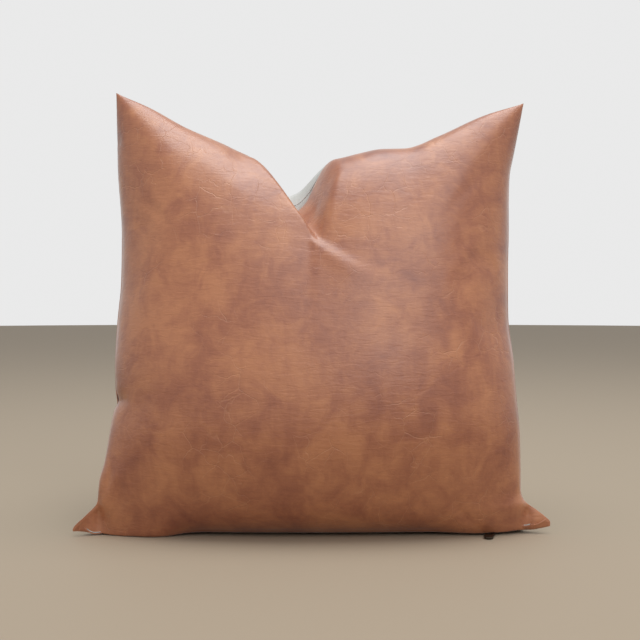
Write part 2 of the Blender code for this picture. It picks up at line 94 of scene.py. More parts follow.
# Crowding of the grid lines at the seams, and at the notch with its reach.
COLUMN_CROWDING = 0.60
ROW_CROWDING = 0.62
NOTCH_CROWDING = 0.45
NOTCH_CROWDING_REACH = 0.22

# The flat bottom corners. A higher sharpness keeps an effect closer to the corner.
EARS_END = 0.08                   # height
EAR_THICKNESS = 7.0 * MM
EAR_FADE_HEIGHT = 0.05
EAR_SHARPNESS = 14
EAR_FOLD = 0.2245                 # the crease where each corner leaves the body, from the middle
EAR_FOLD_DEPTH = 0.004
EAR_FOLD_WIDTH = 3.5 * MM
EAR_FOLD_TOP = 0.046
EAR_FOLD_FADES = (0.012, 0.006)   # over these heights at its top and its foot
CORNER_FORWARD = (24.0 * MM, 6.0 * MM)   # of the left and the right corner
CORNER_SHARPNESS = (16, 8)        # across and upwards

# The front's bulge: shares of the height that its lower and upper curves span, and their roundness.
SIDE_ROUNDNESS = 2.15
LOW_SPAN, LOW_ROUNDNESS = 0.42, 2.2
HIGH_SPAN, HIGH_ROUNDNESS = 0.64, 2.3

# The front's full bottom corners sag onto the floor.
SAG_START, SAG_RUN = 0.115, 0.06  # from the middle
SAG_RIGHT = 0.45                  # share of the left side's sag
SAG_FADE_HEIGHT = 0.018
SAG_FORWARD, SAG_DROP = 15.0 * MM, 13.0 * MM
SAG_SHARPNESS = 10
CLOTH_CLEARANCE = 0.4 * MM        # of the outer face above the floor
FOLD_CLEARANCE = 1.6 * MM         # more of it, where the crease doubles the cloth
FOLD_CLEARANCE_REACH = 10.0 * MM

# The back: a flat patch on the floor, a rounded heel and a slightly crowned rise.
HEEL = 0.82                       # share of the depth that lies on the floor
HEEL_RISE = 0.14                  # share of the rise over which the heel rounds out
BACK_ROUNDNESS, BACK_SQUARENESS = 2.2, 0.25
BACK_CROWN = 0.10
BACK_CLOSING = 2.4
SEAM_TO_FLOOR = 12.0 * MM         # the cloth comes down from the seam over this much
SIDE_BLEND = 0.10                 # share of the half width

# The fold that runs down to the right from the foot of the notch.
FOLD_START = (0.004, 0.3130)      # across and up
FOLD_RUN, FOLD_FALL = 0.058, 0.036
FOLD_DEPTH = 5.0 * MM
FOLD_LIP, FOLD_FADE = 9.0 * MM, 26.0 * MM

# The pucker in the left side seam.
PUCKER_PLACE = (-0.211, 0.139)    # across and up
PUCKER_SLOPE = 0.15
PUCKER_HALF_HEIGHT, PUCKER_LENGTH = 6.0 * MM, 0.024
PUCKER_INWARD, PUCKER_BACK = 4.0 * MM, 8.0 * MM
PUCKER_COLUMNS = 12.0             # its deepest place is this share of the width from the seam

# Seams, hems and the zip.
ZIP_OPEN_TO = 199.0 * MM          # from the middle
ZIP_CLOSES_OVER = 13.0 * MM
SEAM_HALF_GAP = 0.35 * MM
HEM_HALF_GAP = 0.7 * MM
FIRST_FOLD = 3.0 * MM             # from the seam to the hem's first row
PANEL_PARTING = 0.4 * MM
SLIDER_ROOM = (16.0 * MM, 6.0 * MM, 8.5 * MM)   # half its width, its fade and its height
STITCHED_INSET = 6 * MM
INSERT_STITCH_INSETS = (24 * MM, 54 * MM)       # at the sides, and at the top

# Camera: how far it is right of the middle, its distance from the zip seam, and its height.
CAMERA_ACROSS, CAMERA_DISTANCE, CAMERA_HEIGHT = 0.0066, 1.057, 0.245
CAMERA_PITCH = -1.14              # degrees
CAMERA_LENS = 56.6

FINISHES = {}
COVER = {}


def smoothstep(value):
    value = np.clip(value, 0.0, 1.0)
    return value * value * (3.0 - 2.0 * value)


def mix(low, high, share):
    return low + (high - low) * share


def through(points, at):
    """A smooth curve through (place, value) pairs, without overshoot."""
    xs = np.array([p[0] for p in points], float)
    ys = np.array([p[1] for p in points], float)
    steps, rises = np.diff(xs), np.diff(ys)
    slopes = rises / steps
    tangents = np.zeros_like(xs)
    tangents[0], tangents[-1] = slopes[0], slopes[-1]
    turning = slopes[:-1] * slopes[1:] > 0
    both = np.where(turning, slopes[:-1] + slopes[1:], 1.0)
    tangents[1:-1] = np.where(turning, 2.0 * slopes[:-1] * slopes[1:] / both, 0.0)
    at = np.clip(np.asarray(at, float), xs[0], xs[-1])
    cell = np.clip(np.searchsorted(xs, at) - 1, 0, len(xs) - 2)
    width = steps[cell]
    share = (at - xs[cell]) / width
    two, three = share ** 2, share ** 3
    return ((2 * three - 3 * two + 1) * ys[cell] + (three - 2 * two + share) * width * tangents[cell]
            + (3 * two - 2 * three) * ys[cell + 1] + (three - two) * width * tangents[cell + 1])


def length_property(name, description, default):
    return FloatProperty(name=name, description=description, default=default, subtype="DISTANCE",
                         unit="LENGTH")


class PillowSizes(bpy.types.PropertyGroup):
    cells: IntProperty(name="Cells", description="Grid cells across each panel", default=104, min=16)
    seam_y: length_property("Zip seam", "Place of the zip seam, front to back", -46.0 * MM)
    top_lean: length_property("Lean", "How far the top seam is behind the zip seam", 54.0 * MM)
    front_bulge: length_property("Front bulge", "Depth of the front, past the seams", 84.0 * MM)
    floor_pad: length_property("Floor pad", "Depth of the patch that rests on the floor", 98.0 * MM)
    pad_rows: FloatProperty(name="Pad rows", description="Share of the back that lies on the floor",
                            default=0.3, min=0.1, max=0.5, subtype="FACTOR")
    panel: length_property("Panel", "Side of the flat square each panel is cut to", 492.0 * MM)
    cloth: length_property("Cover cloth", "Thickness of the cover's cloth", 1.2 * MM)
    hem: length_property("Hem", "Seam allowance inside the cover", 12.0 * MM)
    slack: length_property("Give", "How far the cloth may settle from its drawn form", 9.0 * MM)
    zip_gap: length_property("Zip opening", "Half the gap that the zip fills", 5.3 * MM)
    stitch: length_property("Stitch", "Length of one stitch", 3.5 * MM)


def linear(hex_colour):
    """An sRGB hex colour as linear red, green, blue and alpha."""
    parts = [int(hex_colour[i:i + 2], 16) / 255.0 for i in (1, 3, 5)]
    return (*[p / 12.92 if p <= 0.04045 else ((p + 0.055) / 1.055) ** 2.4 for p in parts], 1.0)


def colour_property(name, description, default):
    return FloatVectorProperty(name=name, description=description, default=linear(default), size=4,
                               min=0.0, max=1.0, subtype="COLOR")


class PillowColours(bpy.types.PropertyGroup):
    leather_light: colour_property("Leather, light", "Tan parts of the mottled leather", "#b97a54")
    leather_mid: colour_property("Leather, middle", "Reddish brown between them", "#a16346")
    leather_dark: colour_property("Leather, dark", "Darkest blotches", "#8b503b")
    leather_crease: colour_property("Leather, creases", "Fine creases in the coating", "#d9a27c")
    back: colour_property("Back", "Woven back", "#dcdedb")
    # The back's darker colour: real darker yarns, and painted shade in the hollows of the weave.
    back_dark_yarns_and_shade: colour_property("Back, shade", "Darker yarns of the back", "#b9bebb")
    casing: colour_property("Insert casing", "Cloth of the inner cushion", "#e6e5e0")
    fibre: colour_property("Filling", "Polyester fibre", "#f0efeb")
    tape: colour_property("Zip tape", "Woven tape of the zip", "#c3c1bb")
    coil: colour_property("Zip coil", "Nylon coil", "#cfccc4")
    coil_shade: colour_property("Zip coil, shade", "Darker parts of the coil", "#bdbab2")
    metal: colour_property("Dark metal", "Slider, stops and pull", "#5a5148")
    brown_thread: colour_property("Brown thread", "Stitches of the cover", "#7c4a30")
    white_thread: colour_property("White thread", "Stitches of the insert and zip", "#e4e2dc")
    floor: colour_property("Floor", "Plain floor of the stage", "#a89a87")


def sizes():
    return bpy.context.scene.pillow_sizes


def colours():
    return bpy.context.scene.pillow_colours


# ---- materials ----

def darker(colour, share):
    """A linear colour at this share of its brightness."""
    return tuple(share * part for part in colour[:3]) + (1.0,)


def fill(node, inputs):
    """Fills a node's sockets. Each takes a value, or a link from another node's socket."""
    for key, value in inputs.items():
        if isinstance(value, bpy.types.NodeSocket):
            node.id_data.links.new(value, node.inputs[key])
        else:
            node.inputs[key].default_value = value


def add_node(tree, kind, settings=None, inputs=None, stops=()):
    """Adds a node with its settings, links and colour stops, and returns its first output."""
    made = tree.nodes.new(kind)
    for key, value in (settings or {}).items():
        setattr(made, key, value)
    fill(made, inputs or {})
    for number, (place, shade) in enumerate(stops):
        elements = made.color_ramp.elements
        element = elements[number] if number < len(elements) else elements.new(place)
        element.position = place
        element.color = shade
    return made.outputs[0]


def new_material(name, sockets):
    """A material with these values in its shader. Returns what its pattern needs as well:
    add_node for its tree, its Object coordinates and its shader."""
    made = bpy.data.materials.new(name)
    made.use_nodes = True
    tree = made.node_tree
    shader = tree.nodes["Principled BSDF"]
    fill(shader, sockets)
    place = tree.nodes.new("ShaderNodeTexCoord").outputs["Object"]
    return made, partial(add_node, tree), place, shader


def faux_leather():
    """Polyurethane-coated fabric, printed in two tones and embossed: mottled, with a soft satin sheen."""
    made, add, place, shader = new_material("pu_coated_faux_leather", {
        "Specular IOR Level": 0.5, "IOR": 1.5, "Coat Weight": 0.45, "Coat Roughness": 0.30,
        "Sheen Weight": 0.38, "Sheen Roughness": 0.30})
    tones = colours()
    # The print: wide clouds, blotches, flecks and streaks that run up and down.
    tall = add("ShaderNodeMapping", inputs={"Vector": place, "Scale": (1.0, 1.0, 0.16)})
    mottle = 0.0
    for vector, size, detail, roughness, distortion, share in (
            (place, 95 * MM, 2.0, 0.50, 0.4, 0.34), (place, 34 * MM, 4.0, 0.58, 0.9, 0.40),
            (place, 11 * MM, 3.0, 0.60, 0.5, 0.12), (tall, 12 * MM, 3.0, 0.55, 0.6, 0.14)):
        cloud = add("ShaderNodeTexNoise", inputs={
            "Vector": vector, "Scale": 1.0 / size, "Detail": detail, "Roughness": roughness,
            "Distortion": distortion})
        mottle = add("ShaderNodeMath", {"operation": "MULTIPLY_ADD"}, {0: cloud, 1: share, 2: mottle})
    colour = add("ShaderNodeValToRGB", inputs={"Fac": mottle}, stops=(
        (0.36, tones.leather_dark), (0.47, tones.leather_mid), (0.60, tones.leather_light)))
    # Hair-fine creases where the coating has been folded: thin paler lines in patches.
    warp = add("ShaderNodeTexNoise", inputs={"Vector": place, "Scale": 1.0 / (22 * MM), "Detail": 2.0})
    bent = add("ShaderNodeVectorMath", {"operation": "MULTIPLY_ADD"},
               {0: warp, 1: (0.02, 0.02, 0.02), 2: place})
    cells = add("ShaderNodeTexVoronoi", {"feature": "DISTANCE_TO_EDGE"},
                {"Vector": bent, "Scale": 1.0 / (26 * MM)})
    line = add("ShaderNodeMapRange", inputs={
        "Value": cells, "From Min": 0.0, "From Max": 0.022, "To Min": 1.0, "To Max": 0.0})
    where = add("ShaderNodeTexNoise", inputs={"Vector": place, "Scale": 1.0 / (60 * MM)})
    patch = add("ShaderNodeMapRange", inputs={"Value": where, "From Min": 0.50, "From Max": 0.62})
    crease = add("ShaderNodeMath", {"operation": "MULTIPLY"}, {0: line, 1: patch})
    faint = add("ShaderNodeMath", {"operation": "MULTIPLY"}, {0: crease, 1: 0.18})
    pale = add("ShaderNodeMixRGB", inputs={"Fac": faint, "Color1": colour, "Color2": tones.leather_crease})
    rubbed = add("ShaderNodeTexNoise", inputs={"Vector": place, "Scale": 1.0 / (40 * MM), "Detail": 3.0})
    gloss = add("ShaderNodeMapRange", inputs={
        "Value": rubbed, "From Min": 0.3, "From Max": 0.7, "To Min": 0.44, "To Max": 0.34})
    # Embossed grain of about 1.5 mm, drawn at 2.4 mm so that it shows.
    grain = add("ShaderNodeTexVoronoi", {"feature": "SMOOTH_F1"},
                {"Vector": place, "Scale": 1.0 / (2.4 * MM), "Smoothness": 0.6})
    wide = add("ShaderNodeMapping", inputs={"Vector": place, "Scale": (0.35, 1.0, 1.6)})
    ripple = add("ShaderNodeTexNoise", inputs={
        "Vector": wide, "Scale": 1.0 / (7 * MM), "Detail": 3.0, "Roughness": 0.55, "Distortion": 0.8})
    normal = add("ShaderNodeBump", inputs={"Height": grain, "Distance": 0.10 * MM, "Strength": 0.5})
    normal = add("ShaderNodeBump", inputs={
        "Height": ripple, "Distance": 0.9 * MM, "Strength": 0.55, "Normal": normal})
    normal = add("ShaderNodeBump", {"invert": True}, {
        "Height": crease, "Distance": 0.35 * MM, "Strength": 0.6, "Normal": normal})
    fill(shader, {"Base Color": pale, "Roughness": gloss, "Normal": normal})
    return made


def woven_cloth(name, light, dark, pitch, depth):
    """A plain weave whose yarns follow the panel's own cut, with uneven paler and darker yarns, and
    painted shade in the hollows between them.
    """
    made, add, _, shader = new_material(name, {
        "Roughness": 0.9, "Sheen Weight": 0.25, "Sheen Roughness": 0.5, "Specular IOR Level": 0.3})
    cut = add("ShaderNodeUVMap", {"uv_map": "cut"})
    weave, yarn = 1.0, 0.0
    for axis, stretch in (("X", (1.0, 0.04, 1.0)), ("Y", (0.04, 1.0, 1.0))):
        wave = add("ShaderNodeTexWave", {"bands_direction": axis}, {
            "Vector": cut, "Scale": 0.314 / pitch, "Distortion": 0.35, "Detail": 1.0,
            "Detail Scale": 0.6})
        height = add("ShaderNodeSeparateColor", inputs={"Color": wave})
        weave = add("ShaderNodeMath", {"operation": "MULTIPLY"}, {0: height, 1: weave})
        drawn = add("ShaderNodeMapping", inputs={"Vector": cut, "Scale": stretch})
        slub = add("ShaderNodeTexNoise", inputs={"Vector": drawn, "Scale": 0.4 / pitch})
        yarn = add("ShaderNodeMath", {"operation": "MULTIPLY_ADD"}, {0: slub, 1: 0.375, 2: yarn})
    # Painted shade: the colour darkens where the weave is low, in the hollows between the yarns; the slub
    # noise adds real paler and darker yarns.
    tone = add("ShaderNodeMath", {"operation": "MULTIPLY_ADD"}, {0: weave, 1: 0.45, 2: yarn})
    colour = add("ShaderNodeValToRGB", inputs={"Fac": tone}, stops=((0.30, dark), (0.68, light)))
    normal = add("ShaderNodeBump", inputs={"Height": weave, "Distance": depth, "Strength": 0.8})
    fill(shader, {"Base Color": colour, "Normal": normal})
    return made


def plain_cloth(name, shade, grain, depth, roughness=0.9):
    """Fine cloth or fibre whose threads are too small to tell apart: matte, with a faint even nap."""
    made, add, place, shader = new_material(name, {
        "Roughness": roughness, "Sheen Weight": 0.2, "Specular IOR Level": 0.3})
    nap = add("ShaderNodeTexNoise", inputs={
        "Vector": place, "Scale": 1.0 / grain, "Detail": 3.0, "Roughness": 0.6})
    colour = add("ShaderNodeMixRGB", inputs={
        "Fac": nap, "Color1": darker(shade, 0.82), "Color2": shade})
    normal = add("ShaderNodeBump", inputs={"Height": nap, "Distance": depth, "Strength": 0.6})
    fill(shader, {"Base Color": colour, "Normal": normal})
    return made


def spun_thread(name, shade):
    """Twisted polyester thread: a slight sheen and a fine twist."""
    made, add, place, shader = new_material(name, {"Roughness": 0.55, "Sheen Weight": 0.1})
    twist = add("ShaderNodeTexWave", {"bands_direction": "DIAGONAL"}, {
        "Vector": place, "Scale": 0.314 / (0.5 * MM), "Distortion": 0.5})
    strand = add("ShaderNodeSeparateColor", inputs={"Color": twist})
    colour = add("ShaderNodeMixRGB", inputs={
        "Fac": strand, "Color1": darker(shade, 0.7), "Color2": shade})
    fill(shader, {"Base Color": colour})
    return made


def nylon_monofilament():
    """Extruded nylon, heat-set into a coil: slightly translucent-looking, smooth and satin."""
    made, add, place, shader = new_material("nylon_monofilament", {"IOR": 1.53})
    cloud = add("ShaderNodeTexNoise", inputs={"Vector": place, "Scale": 1.0 / (6 * MM)})
    tone = add("ShaderNodeValToRGB", inputs={"Fac": cloud}, stops=(
        (0.3, colours().coil_shade), (0.7, colours().coil)))
    gloss = add("ShaderNodeMapRange", inputs={
        "Value": cloud, "From Min": 0.3, "From Max": 0.7, "To Min": 0.34, "To Max": 0.42})
    fill(shader, {"Base Color": tone, "Roughness": gloss})
    return made


def blackened_zinc():
    """Die-cast zinc with a dark antique plating, tumbled: dark, rubbed a little brighter in places."""
    made, add, place, shader = new_material("blackened_die_cast_zinc", {"Metallic": 1.0})
    worn = add("ShaderNodeTexNoise", inputs={
        "Vector": place, "Scale": 1.0 / (4 * MM), "Detail": 4.0, "Roughness": 0.6})
    colour = add("ShaderNodeMixRGB", inputs={
        "Fac": worn, "Color1": darker(colours().metal, 0.55), "Color2": colours().metal})
    gloss = add("ShaderNodeMapRange", inputs={
        "Value": worn, "From Min": 0.3, "From Max": 0.7, "To Min": 0.48, "To Max": 0.34})
    pits = add("ShaderNodeTexNoise", inputs={"Vector": place, "Scale": 1.0 / (0.7 * MM)})
    normal = add("ShaderNodeBump", inputs={"Height": pits, "Distance": 0.03 * MM, "Strength": 0.5})
    fill(shader, {"Base Color": colour, "Roughness": gloss, "Normal": normal})
    return made


def material(name):
    """The finished material for one of the record's slots, made on first use."""
    makers = {
        "faux_leather": faux_leather,
        # Yarns of about 1 mm, drawn at 1.7 mm so that the weave shows.
        "woven_back": lambda: woven_cloth("slub_polyester_linen", colours().back,
                                          colours().back_dark_yarns_and_shade, 1.7 * MM, 0.35 * MM),
        "insert_casing": lambda: plain_cloth("calendered_polyester_casing", colours().casing,
                                             1.2 * MM, 0.05 * MM, 0.8),
        "fibre_filling": lambda: plain_cloth("siliconised_polyester_fibre", colours().fibre,
                                             4 * MM, 1.0 * MM, 1.0),
        "zip_tape": lambda: plain_cloth("polyester_zip_tape", colours().tape, 0.8 * MM, 0.08 * MM),
        "zip_coil": nylon_monofilament,
        "dark_metal": blackened_zinc,
        "brown_thread": lambda: spun_thread("brown_polyester_thread", colours().brown_thread),
        "white_thread": lambda: spun_thread("white_polyester_thread", colours().white_thread),
    }
    if name not in FINISHES:
        FINISHES[name] = makers[name]()
    return FINISHES[name]


# ---- the pillow's form ----

def crowded(cells, crowding):
    """Places of the grid lines from -1 to 1, closer together at the seams."""
    even = np.linspace(-1.0, 1.0, cells + 1)
    return crowding * np.sin(0.5 * math.pi * even) + (1.0 - crowding) * even


def grid_shares(cells):
    """Places of the columns from -1 to 1, closer together at the seams and at the notch."""
    spaced = crowded(cells, COLUMN_CROWDING)
    return spaced * (1.0 - NOTCH_CROWDING * np.exp(-(spaced / NOTCH_CROWDING_REACH) ** 2))


def row_shares(cells):
    """Places of the rows from 0 to 1."""
    return (crowded(cells, ROW_CROWDING) + 1.0) / 2.0


def lean_at(share):
    """Front to back place of the seams, upright at both ends and leaning back between them."""
    return sizes().seam_y + sizes().top_lean * share ** 3 * (10.0 - 15.0 * share + 6.0 * share ** 2)


def notch_press(points):
    """Lowers the points under the pressed-in notch."""
    x, y, z = points[..., 0], points[..., 1], points[..., 2]
    away = x - (NOTCH_LIP[0] + NOTCH_TURN * (y - NOTCH_LIP[1]))
    left = np.clip(1.0 + away / through(NOTCH_LEFT, y), 0.0, 1.0)
    right = np.clip(1.0 - away / through(NOTCH_RIGHT, y), 0.0, 1.0)
    left = mix(left, smoothstep(left), NOTCH_SMOOTHING)
    right = through(NOTCH_WALL, right)
    share = np.where(away < 0.0, left, right)
    high = smoothstep((z - NOTCH_ROOT) / (NOTCH_FULL - NOTCH_ROOT))
    points[..., 2] = z - through(NOTCH_DEPTHS, y) * share * high
    return points


def panel_points(side):
    """The drawn outer surface of one panel, as an array of (row, column, xyz)."""
    a = grid_shares(sizes().cells)[None, :]
    b = row_shares(sizes().cells)[:, None]
    a, b = np.broadcast_arrays(a, b)
    if side < 0:
        points = sagged(front_points(a, b))
    else:
        points = back_points(a, b)
    return notch_press(points)


def outline_x(a, z):
    """Place across at a height, for a share from -1 at the left seam to 1 at the right one."""
    return mix(through(LEFT_SIDE, z), through(RIGHT_SIDE, z), (a + 1.0) / 2.0)


def row_height(a, b):
    """Height of a row, from the bottom seam to the top one."""
    rough_x = outline_x(a, b * MEAN_HEIGHT)
    top_x = mix(TOP_EDGE[0][0], TOP_EDGE[-1][0], (a + 1.0) / 2.0)
    low = through(BOTTOM_EDGE, rough_x)
    return mix(low, through(TOP_EDGE, top_x), b)


def seam_surface_y(a, b):
    """Front to back place of the surface that runs through all the seams."""
    corner = np.abs(a) ** CORNER_SHARPNESS[0] * (1.0 - b) ** CORNER_SHARPNESS[1]
    forward = np.where(a < 0.0, *CORNER_FORWARD) * corner
    return lean_at(b) - forward


def rounded(share, roundness):
    """A bulge's height, from 1 at share 0 down to 0 at share 1."""
    return np.sqrt(np.clip(1.0 - np.clip(share, 0.0, 1.0) ** roundness, 0.0, 1.0))


def front_points(a, b):
    """The leather-look front: one bulge, and a flat ear with a crease at each bottom corner."""
    z = row_height(a, b)
    x = outline_x(a, z)
    beside = np.abs(x) / np.where(z < EARS_END, through(BODY_EDGE, z), 10.0)
    across = rounded(np.maximum(np.abs(a), beside), SIDE_ROUNDNESS)
    low = rounded(1.0 - b / LOW_SPAN, LOW_ROUNDNESS)
    high = rounded((b - 1.0 + HIGH_SPAN) / HIGH_SPAN, HIGH_ROUNDNESS)
    swell = sizes().front_bulge * across * low * high
    ear = EAR_THICKNESS * rounded(np.abs(a), EAR_SHARPNESS) * np.sqrt(np.clip(b * 40.0, 0.0, 1.0))
    ear = ear * np.exp(-(z / EAR_FADE_HEIGHT) ** 2)
    folded = np.exp(-((np.abs(x) - EAR_FOLD) / EAR_FOLD_WIDTH) ** 2)
    folded = folded * smoothstep((EAR_FOLD_TOP - z) / EAR_FOLD_FADES[0])
    folded = folded * smoothstep(z / EAR_FOLD_FADES[1])
    swell = swell - np.minimum(EAR_FOLD_DEPTH * folded, 0.6 * swell)
    ear = ear * (1.0 - 0.7 * folded)
    y = seam_surface_y(a, b) - np.maximum(swell, ear)
    return np.stack([x, y, z], axis=-1)


def sagged(points):
    """Lets the full bottom corners of the front come forward and rest on the floor."""
    x, z = points[..., 0], points[..., 2]
    corner = smoothstep((-SAG_START - x) / SAG_RUN) + SAG_RIGHT * smoothstep((x - SAG_START) / SAG_RUN)
    inside = 1.0 - np.abs(grid_shares(z.shape[1] - 1))[None, :] ** SAG_SHARPNESS
    beyond_seam = np.clip(np.linspace(0.0, 0.4 * len(z), len(z)), 0.0, 1.0)[:, None]
    low = corner * np.exp(-z / SAG_FADE_HEIGHT) * inside * beyond_seam
    points[..., 1] -= SAG_FORWARD * low
    at_fold = np.exp(-((np.abs(x) - EAR_FOLD) / FOLD_CLEARANCE_REACH) ** 2)
    lowest = np.minimum(z, CLOTH_CLEARANCE + FOLD_CLEARANCE * at_fold)
    points[..., 2] = np.maximum(z - SAG_DROP * low, lowest)
    return points


def back_points(a, b):
    """The woven back: a patch that lies on the floor, then the rise to the top seam."""
    size = sizes()
    depth = size.floor_pad * np.clip(1.0 - np.abs(a) ** BACK_ROUNDNESS, 0.0, 1.0) ** BACK_SQUARENESS
    bottom, top = np.zeros_like(b), np.ones_like(b)
    laid = HEEL * depth * np.clip(b / size.pad_rows, 0.0, 1.0)
    flat_y = seam_surface_y(a, bottom) + laid
    flat_z = row_height(a, bottom) * (1.0 - smoothstep(laid / SEAM_TO_FLOOR))
    rise = np.clip((b - size.pad_rows) / (1.0 - size.pad_rows), 0.0, 1.0)
    crown = 1.0 + BACK_CROWN * np.sin(math.pi * rise)
    heel = mix(HEEL, 1.0, np.sin(0.5 * math.pi * np.clip(rise / HEEL_RISE, 0.0, 1.0)))
    up_y = seam_surface_y(a, rise) + depth * crown * rounded(rise, BACK_CLOSING) * heel
    standing = b > size.pad_rows
    y = np.where(standing, up_y, flat_y)
    z = np.where(standing, row_height(a, top) * rise, flat_z)
    on_floor = np.stack([outline_x(a, z), y, z], axis=-1)
    z_side = row_height(a, b)
    beside = np.stack([outline_x(a, z_side), seam_surface_y(a, b), z_side], axis=-1)
    inward = smoothstep((1.0 - np.abs(a)) / SIDE_BLEND)[..., None]
    return mix(beside, on_floor, inward)


def arc_shares(points, axis):
    """How far along the cloth each grid point is, from 0 to 1, along rows or columns."""
    steps = np.linalg.norm(np.diff(points, axis=axis), axis=2)
    total = np.cumsum(steps, axis=axis)
    pad = [(0, 0), (0, 0)]
    pad[axis] = (1, 0)
    total = np.pad(total, pad)
    return total / np.take(total, [-1], axis=axis)


def cut_points(points):
    """Where each grid point is on the flat square that the panel is cut from."""
    side = sizes().panel
    return np.stack([(arc_shares(points, 1) - 0.5) * side, arc_shares(points, 0) * side], axis=-1)


def build_closed_form(points):
    """Both panels as one closed mesh: two grids whose edges are bridged. Vertices keep row and column."""
    cells = sizes().cells
    builder = bmesh.new()
    index = {}
    loops = []
    for name, side in SIDES.items():
        places = grid_on(builder, cells, points[name])
        loops += [edge for edge in builder.edges if edge.is_boundary and edge.verts[0] in places]
        for vert, (row, column) in places.items():
            index[vert] = (name, row, column)
            if row in (0, cells) or column in (0, cells):
                vert.co.y += side * PANEL_PARTING
    bmesh.ops.bridge_loops(builder, edges=loops)
    bmesh.ops.recalc_face_normals(builder, faces=builder.faces)
    return builder, index


def settle(mesh, pins):
    """Lets the cloth settle under the filling's push, and returns where its vertices come to rest."""
    cloth_object = bpy.data.objects.new("settling_cover", mesh)
    bpy.context.collection.objects.link(cloth_object)
    group = cloth_object.vertex_groups.new(name="held")
    for index, weight in enumerate(pins):
        group.add([index], float(weight), "REPLACE")
    modifier = cloth_object.modifiers.new("settle", "CLOTH")
    settings = modifier.settings
    settings.quality = 6
    settings.mass = 0.4
    settings.tension_stiffness = settings.compression_stiffness = 30.0
    settings.shear_stiffness = 12.0
    settings.bending_stiffness = 2.5
    settings.use_pressure = True
    settings.uniform_pressure_force = 4.0
    settings.vertex_group_mass = "held"
    settings.pin_stiffness = 1.0
    settings.rest_shape_key = mesh.shape_keys.key_blocks["cut"]
    settings.effector_weights.gravity = 0.0
    modifier.collision_settings.use_collision = False
    modifier.point_cache.frame_start, modifier.point_cache.frame_end = 1, 24
    scene = bpy.context.scene
    for step in range(1, 23):
        scene.frame_set(step)
    settled = cloth_object.evaluated_get(bpy.context.evaluated_depsgraph_get()).to_mesh()
    found = np.empty(len(settled.vertices) * 3)
    settled.vertices.foreach_get("co", found)
    scene.frame_set(1)
    bpy.data.objects.remove(cloth_object)
    return found.reshape(-1, 3)


def settled_points(points):
    """The drawn panels after the cloth has settled, never further than the sizes allow."""
    builder, index = build_closed_form(points)
    builder.verts.ensure_lookup_table()
    builder.verts.index_update()
    mesh = bpy.data.meshes.new("settling_cover")
    builder.to_mesh(mesh)
    places = [index[vert] for vert in builder.verts]
    builder.free()
    drawn = np.array([points[name][row, column] for name, row, column in places])
    holder = bpy.data.objects.new("shape_holder", mesh)
    bpy.context.collection.objects.link(holder)
    holder.shape_key_add(name="Basis")
    key = holder.shape_key_add(name="cut")
    cuts = {name: cut_points(points[name]) for name in SIDES}
    flat = np.zeros((len(places), 3))
    cells = sizes().cells
    for number, (name, row, column) in enumerate(places):
        flat[number, :2] = cuts["front"][row, column] if row in (0, cells) or column in (0, cells) \
            else cuts[name][row, column]
        flat[number, 2] = SIDES[name] * PANEL_PARTING
    key.data.foreach_set("co", flat.ravel())
    pins = hold_weights(drawn, places)
    rested = settle(mesh, pins)
    bpy.data.objects.remove(holder)
    move = rested - drawn
    length = np.linalg.norm(move, axis=1, keepdims=True) + 1e-9
    give = sizes().slack
    move *= give * np.tanh(length / give) / length
    for number, (name, row, column) in enumerate(places):
        points[name][row, column] = drawn[number] + move[number]
    return points


def hold_weights(drawn, places):
    """How firmly each vertex is held: the floor pad, the zip and the corner tips stay where they are."""
    cells = sizes().cells
    weights = np.clip(1.0 - drawn[:, 2] / (14.0 * MM), 0.0, 1.0)
    for number, (_, row, column) in enumerate(places):
        at_tip = min(row, cells - row) < 2 and min(column, cells - column) < 2
        if at_tip:
            weights[number] = 1.0
        elif row == cells and abs(column - cells / 2) < 0.2 * cells:
            weights[number] = max(weights[number], 0.9)
    return weights


def add_folds(points):
    """Presses in the folds that the filling and the notch leave in the cloth."""
    front = points["front"]
    x, z = front[..., 0], front[..., 2]
    along = np.clip((x - FOLD_START[0]) / FOLD_RUN, 0.0, 1.0)
    below = FOLD_START[1] - FOLD_FALL * along ** 0.8 - z
    reach = smoothstep((x + 0.006) / 0.012) * (1.0 - smoothstep((x - 0.030) / 0.050))
    step = smoothstep(below / FOLD_LIP) * np.exp(-np.clip(below, 0.0, 1.0) / FOLD_FADE)
    front[..., 1] -= FOLD_DEPTH * step * reach
    for name, panel in points.items():
        away = panel[..., 0] - PUCKER_PLACE[0]
        drop = panel[..., 2] - PUCKER_PLACE[1] - PUCKER_SLOPE * away
        pinch = np.exp(-(drop / PUCKER_HALF_HEIGHT) ** 2) * (1.0 - smoothstep(away / PUCKER_LENGTH))
        panel[..., 0] += PUCKER_INWARD * pinch
        if name == "front":
            columns = np.linspace(0.0, 1.0, panel.shape[1]) * PUCKER_COLUMNS
            rim = np.clip(np.abs(1.0 - columns), 0.0, 1.0)
            panel[..., 1] += PUCKER_BACK * pinch * (1.0 - rim)[None, :]


def join_edges(points):
    """Gives the back the front's seams."""
    for edge in (np.s_[0, :], np.s_[-1, :], np.s_[:, 0], np.s_[:, -1]):
        points["back"][edge] = points["front"][edge]


def make_cover_points():
    """The finished outer surfaces of both panels, made once and shared by all the soft pieces."""
    if not COVER:
        points = {name: panel_points(side) for name, side in SIDES.items()}
        join_edges(points)
        points = settled_points(points)
        add_folds(points)
        join_edges(points)
        for name in SIDES:
            points[name][..., 2] = np.maximum(points[name][..., 2], 0.0)
        COVER.update(points)
        COVER["middle"] = (points["front"] + points["back"]) / 2.0
    return COVER


